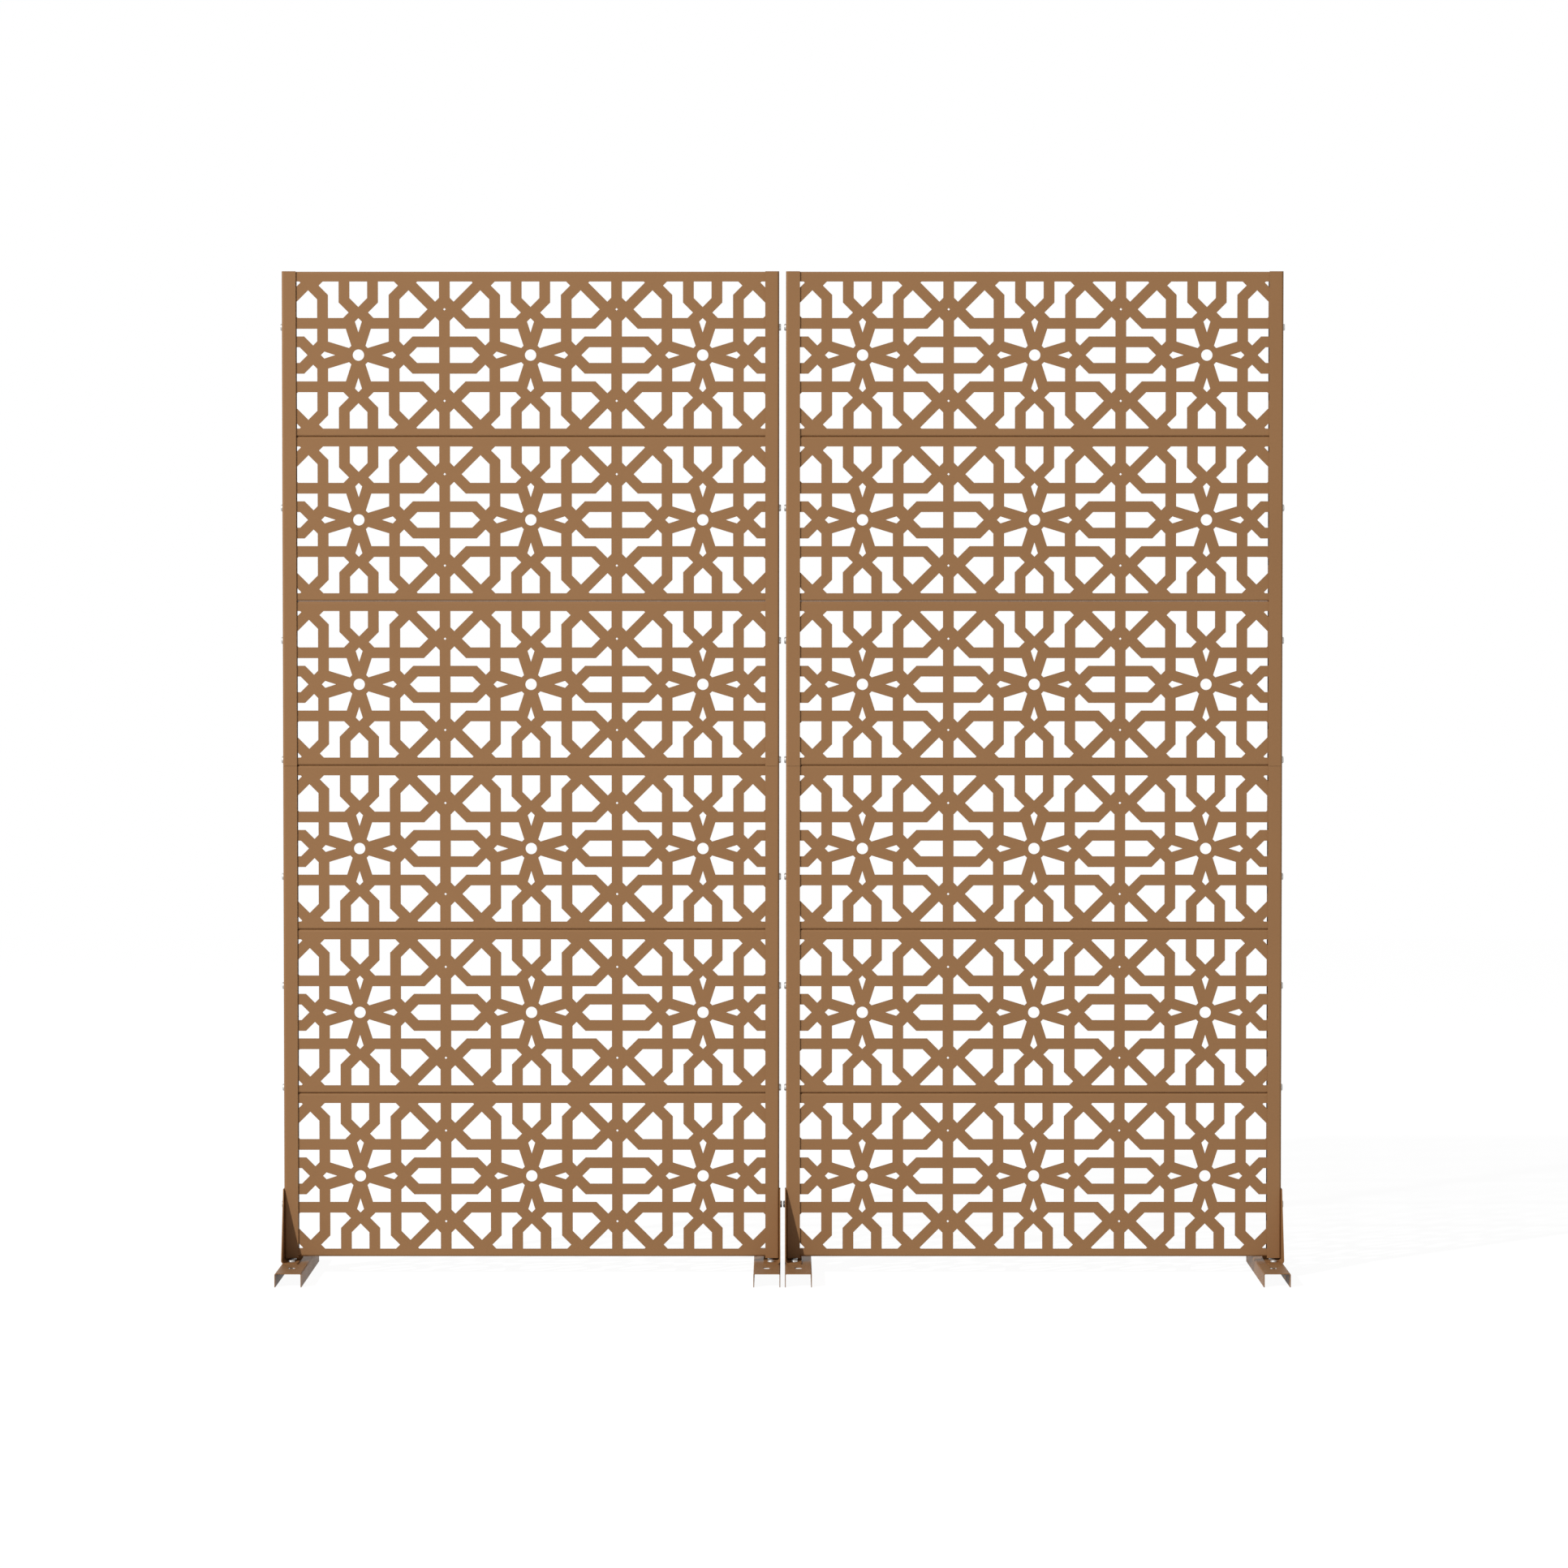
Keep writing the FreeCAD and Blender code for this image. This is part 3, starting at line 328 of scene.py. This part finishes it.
# %% Zinc texture
zinc_group = bpy.data.node_groups.new("Zinc plating", "ShaderNodeTree")
given, result = group_sockets(
    zinc_group,
    [("Place", "NodeSocketVector", None),
     ("Bright", "NodeSocketColor", (0.62, 0.62, 0.60, 1)),
     ("Cloudy", "NodeSocketColor", (0.48, 0.48, 0.465, 1)),
     ("Clouds per metre", "NodeSocketFloat", 500.0),
     ("Roughness", "NodeSocketFloat", 0.28)],
    SKIN_OUTPUTS)
clouds = noise(zinc_group, Detail=4.0)
marks = noise(zinc_group, Scale=4200.0, Detail=2.0)
spread = stretch(zinc_group, 0.35, 0.65)
mixed = add_node(zinc_group, "ShaderNodeMix", data_type="RGBA")
dull = add_node(zinc_group, "ShaderNodeMath", {1: -0.12}, operation="MULTIPLY_ADD")
for start, end in ((given.outputs["Place"], clouds.inputs["Vector"]),
                   (given.outputs["Clouds per metre"], clouds.inputs["Scale"]),
                   (given.outputs["Place"], marks.inputs["Vector"]),
                   (clouds.outputs["Fac"], spread.inputs["Value"]),
                   (spread.outputs[0], mixed.inputs["Factor"]),
                   (given.outputs["Cloudy"], mixed.inputs["A"]),
                   (given.outputs["Bright"], mixed.inputs["B"]),
                   (mixed.outputs["Result"], result.inputs["Colour"]),
                   (spread.outputs[0], dull.inputs[0]),
                   (given.outputs["Roughness"], dull.inputs[2]),
                   (dull.outputs[0], result.inputs["Roughness"]),
                   (marks.outputs["Fac"], result.inputs["Height"])):
    zinc_group.links.new(start, end)
print("zinc group with", len(zinc_group.nodes), "nodes")


# %% Plated steel
MARKS_RELIEF, MARKS_DEPTH = 0.2, 0.02 * MM


def plated(name, bright, roughness):
    """Zinc-plated steel."""
    return skinned(name, zinc_group, {"Bright": (*bright, 1), "Roughness": roughness},
                   MARKS_RELIEF, MARKS_DEPTH, {"Metallic": 1.0})


bolt_zinc = plated("bolt_zinc", (0.62, 0.62, 0.605), 0.60)
nut_zinc = plated("nut_zinc", (0.58, 0.58, 0.56), 0.58)
print("plated", bolt_zinc.name, nut_zinc.name)


# %% [markdown]
# A pan-head machine screw is turned from wire: a low head with a rounded rim, and a rolled thread.
# It could be spun from a profile, but a cylinder shaped in steps shows each feature as it is made.
# The head starts as a disc whose outer rim is bevelled. Its underside is inset and drawn out as the shank.
# The thread is drawn out half a turn's rise at a time, alternately to the crest and to the root.
# At this size the rings of a thread and a true helix can't be told apart, and rings stay light.

# %% Helpers for edit mode
def make_active(obj):
    deselect_all()
    obj.select_set(True)
    bpy.context.view_layer.objects.active = obj


def start_editing(obj, mode="FACE"):
    make_active(obj)
    bpy.ops.object.mode_set(mode="EDIT")
    bpy.ops.mesh.select_mode(type=mode)
    bpy.ops.mesh.select_all(action="DESELECT")


def pick(obj, belongs, parts="polygons"):
    """Selects the faces or edges that pass the test."""
    bpy.ops.object.mode_set(mode="OBJECT")
    for part in getattr(obj.data, parts):
        part.select = bool(belongs(part))
    bpy.ops.object.mode_set(mode="EDIT")


def edge_middle(obj, edge):
    a, b = (obj.data.vertices[i].co for i in edge.vertices)
    return (a + b) / 2


def stop_editing(obj):
    bpy.ops.mesh.select_all(action="SELECT")
    bpy.ops.mesh.normals_make_consistent(inside=False)
    bpy.ops.object.mode_set(mode="OBJECT")
    obj.select_set(False)


def draw_out(distance, scale):
    """Extrudes the picked face along Z and widens or narrows its end."""
    bpy.ops.mesh.extrude_region_move(TRANSFORM_OT_translate={"value": (0, 0, distance)})
    bpy.ops.transform.resize(value=(scale, scale, 1))


def boolean(obj, other, operation):
    """Joins, cuts or crosses the first object with the second, which is used up."""
    change = obj.modifiers.new("shape", "BOOLEAN")
    change.operation = operation
    change.object = other
    make_active(obj)
    bpy.ops.object.modifier_apply(modifier=change.name)
    bpy.data.objects.remove(other)


def finish_metal(obj, material, angle):
    paint(obj, material)
    make_active(obj)
    bpy.ops.object.shade_smooth_by_angle(angle=math.radians(angle))


def facts(obj):
    return len(obj.data.polygons), "faces", [round(v / MM, 2) for v in obj.dimensions]


print("helpers for picking, drawing out, cutting and finishing are ready")


# %% Pan-head screw
HEAD_R, HEAD_H = 6.3 * MM, 3.2 * MM
RIM_SHARE = 0.5
SCREW_LENGTH, TIP = 16 * MM, 0.6 * MM
THREAD_R, THREAD_PITCH = 3.0 * MM, 1.0 * MM
ROOT_SCALE, TIP_SCALE = 0.84, 0.9
BLADE = (6.4 * MM, 1.15 * MM, 3.6 * MM)
BLADE_TAPER = 0.45


def pan_screw(name, length):
    """A screw that points up, with the underside of its head at Z = 0."""
    deselect_all()
    bpy.ops.mesh.primitive_cylinder_add(vertices=32, radius=HEAD_R, depth=HEAD_H,
                                        location=(0, 0, -HEAD_H / 2), end_fill_type="NGON")
    screw = bpy.context.object
    screw.name = name
    bpy.ops.object.transform_apply(location=True)
    start_editing(screw, "EDGE")
    pick(screw, lambda e: edge_middle(screw, e).z < -HEAD_H * 0.9, "edges")
    bpy.ops.mesh.bevel(offset=HEAD_H * RIM_SHARE, segments=5, profile=0.5, affect="EDGES")
    bpy.ops.mesh.select_mode(type="FACE")
    pick(screw, lambda f: f.normal.z > 0.9)
    bpy.ops.mesh.inset(thickness=HEAD_R - THREAD_R * ROOT_SCALE * 1.02)
    turns = int((length - TIP) / THREAD_PITCH)
    for _ in range(turns):
        draw_out(THREAD_PITCH / 2, 1 / ROOT_SCALE)
        draw_out(THREAD_PITCH / 2, ROOT_SCALE)
    draw_out(length - turns * THREAD_PITCH, TIP_SCALE)
    stop_editing(screw)
    return screw


def cross_recess(screw):
    """Cuts the cross for a driver into the crown of the head."""
    deselect_all()
    cutters = []
    for turn in (0, math.pi / 2):
        bpy.ops.mesh.primitive_cube_add(size=1, location=(0, 0, -HEAD_H), rotation=(0, 0, turn))
        blade = bpy.context.object
        blade.scale = BLADE
        bpy.ops.object.transform_apply(location=True, rotation=True, scale=True)
        start_editing(blade)
        pick(blade, lambda f: f.normal.z > 0.9)
        bpy.ops.transform.resize(value=(BLADE_TAPER, BLADE_TAPER, 1), orient_type="GLOBAL")
        bpy.ops.object.mode_set(mode="OBJECT")
        cutters.append(blade)
    for blade in cutters:
        boolean(screw, blade, "DIFFERENCE")


screw_pattern = pan_screw("pan_screw", SCREW_LENGTH)
cross_recess(screw_pattern)
finish_metal(screw_pattern, bolt_zinc, 35)
print("screw", *facts(screw_pattern))


# %% [markdown]
# A hexagon nut is a six-sided bar, drilled and tapped, whose corners are turned off at both ends.
# The turning leaves the arched lines on its flats, which are what makes a nut look like a nut.
# So the six-sided block is cut where it sticks out of a disc with wide bevels, and then drilled.
# The bore's mouths are bevelled too, as the real countersinks are.

# %% Hexagon nut
NUT_FLATS, NUT_H = 10 * MM, 5 * MM
CORNER_CUT, MOUTH_CUT = 0.9 * MM, 0.35 * MM
BORE_R = THREAD_R + 0.15 * MM


def upright_cylinder(vertices, radius, depth, turn=0.0):
    """A cylinder about the nut's own middle."""
    bpy.ops.mesh.primitive_cylinder_add(vertices=vertices, radius=radius, depth=depth,
                                        location=(0, 0, NUT_H / 2), rotation=(0, 0, turn))
    cylinder = bpy.context.object
    bpy.ops.object.transform_apply(location=True, rotation=True)
    return cylinder


def hexagon_nut():
    """A nut on the Z axis, seated at Z = 0."""
    deselect_all()
    corner = NUT_FLATS / math.sqrt(3)
    nut = upright_cylinder(6, corner, NUT_H, math.pi / 6)
    nut.name = "hexagon_nut"

    turned = upright_cylinder(48, corner * 1.01, NUT_H * 1.001)
    start_editing(turned, "EDGE")
    pick(turned, lambda e: abs(edge_middle(turned, e).z - NUT_H / 2) > NUT_H * 0.4, "edges")
    bpy.ops.mesh.bevel(offset=CORNER_CUT, offset_type="WIDTH", segments=1, affect="EDGES")
    stop_editing(turned)
    boolean(nut, turned, "INTERSECT")

    deselect_all()
    boolean(nut, upright_cylinder(32, BORE_R, NUT_H * 1.4), "DIFFERENCE")
    start_editing(nut, "EDGE")

    def at_mouth(edge):
        rim = max(nut.data.vertices[i].co.xy.length for i in edge.vertices)
        return rim < BORE_R * 1.05 and abs(edge_middle(nut, edge).z - NUT_H / 2) > NUT_H * 0.49

    pick(nut, at_mouth, "edges")
    bpy.ops.mesh.bevel(offset=MOUTH_CUT, segments=1, affect="EDGES")
    stop_editing(nut)
    return nut


nut_pattern = hexagon_nut()
finish_metal(nut_pattern, nut_zinc, 25)
print("nut", *facts(nut_pattern))


# %% [markdown]
# Every screw and nut goes where the metalwork expects one.
# The plain fasteners of the solid model already mark those places, so their boxes are read, one per piece.
# A piece's points are gathered along its edges: two points that share an edge belong to the same piece.

# %% Where the fasteners are
def separate_boxes(node):
    """The low and high corners of each loose piece in a node."""
    mesh = nodes[node].data
    places = {}
    owner = []
    for vertex in mesh.vertices:
        key = tuple(round(c, 6) for c in vertex.co)
        owner.append(places.setdefault(key, len(places)))
    parent = list(range(len(places)))

    def root(i):
        while parent[i] != i:
            parent[i] = parent[parent[i]]
            i = parent[i]
        return i

    for edge in mesh.edges:
        a, b = (root(owner[i]) for i in edge.vertices)
        parent[a] = b
    boxes = {}
    for key, i in places.items():
        low, high = boxes.setdefault(root(i), (list(key), list(key)))
        for axis in range(3):
            low[axis] = min(low[axis], key[axis])
            high[axis] = max(high[axis], key[axis])
    return sorted((Vector(low), Vector(high)) for low, high in boxes.values())


for name in FASTENERS:
    print(name, len(separate_boxes(f"left_{name}")))


# %% [markdown]
# The side of the screen that a box is on tells which way its screw points.
# Among the nuts, a flat box is one that sits under a foot.
# The finished pieces of one group are then joined, because one node stands for the whole group.
# One more screw holds each bracket to its foot, half way along the flange and close under the post's end.
# The solid model has nothing for it, so it is made here from the same two patterns.
# Its head is 3.2 mm high and the post ends 4 mm above the flange, so the two keep clear of each other.

# %% Set the fasteners
DOWN = Vector((0, 0, -1))


def place_copy(pattern, seat, direction):
    """A copy whose Z axis points along the direction, with its own mesh."""
    copy = pattern.copy()
    copy.data = pattern.data.copy()
    bpy.context.collection.objects.link(copy)
    copy.location = seat
    copy.rotation_euler = direction.to_track_quat("Z", "X").to_euler()
    return copy


def join(copies, name, node=None):
    """Joins the copies into one piece, which stands for the node if one is given."""
    deselect_all()
    for copy in copies:
        copy.select_set(True)
    bpy.context.view_layer.objects.active = copies[0]
    bpy.ops.object.transform_apply(location=True, rotation=True)
    bpy.ops.object.join()
    whole = bpy.context.object
    whole.name = name
    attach(whole, "root")
    if node:
        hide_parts(node)
    return whole


def inward(middle, centre_x):
    """Along X, from the outside of a post into its screen."""
    return Vector((1 if middle.x < centre_x else -1, 0, 0))


for screen in ("left", "right"):
    low, high = (Vector(corner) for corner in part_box(f"{screen}_panel_1"))
    centre_x = (low.x + high.x) / 2
    side, foot, nuts, under_post = [], [], [], []
    for low, high in separate_boxes(f"{screen}_side_bolts"):
        seat = (low + high) / 2
        way = inward(seat, centre_x)
        seat.x = low.x + HEAD_H if way.x > 0 else high.x - HEAD_H
        side.append(place_copy(screw_pattern, seat, way))
    for low, high in separate_boxes(f"{screen}_foot_bolts"):
        seat = (low + high) / 2
        seat.z = high.z - HEAD_H
        foot.append(place_copy(screw_pattern, seat, DOWN))
        if seat.y < 0:
            under_post.append(place_copy(screw_pattern, Vector((seat.x, 0, seat.z)), DOWN))
    for low, high in separate_boxes(f"{screen}_nuts"):
        middle = (low + high) / 2
        if high.z - low.z < NUT_H * 1.1:
            seat = Vector((middle.x, middle.y, high.z))
            nuts.append(place_copy(nut_pattern, seat, DOWN))
            if seat.y < 0:
                under_post.append(place_copy(nut_pattern, Vector((seat.x, 0, seat.z)), DOWN))
        else:
            way = inward(middle, centre_x)
            seat = Vector((low.x if way.x > 0 else high.x, middle.y, middle.z))
            nuts.append(place_copy(nut_pattern, seat, way))
    for copies, name, node in ((side, "side_screws", "side_bolts"),
                               (foot, "foot_screws", "foot_bolts"),
                               (nuts, "hexagon_nuts", "nuts"),
                               (under_post, "middle_fasteners", None)):
        whole = join(copies, f"{screen}_{name}", node and f"{screen}_{node}")
        print(whole.name, len(copies), "pieces,", len(whole.data.polygons), "faces")
for pattern in (screw_pattern, nut_pattern):
    bpy.data.objects.remove(pattern)
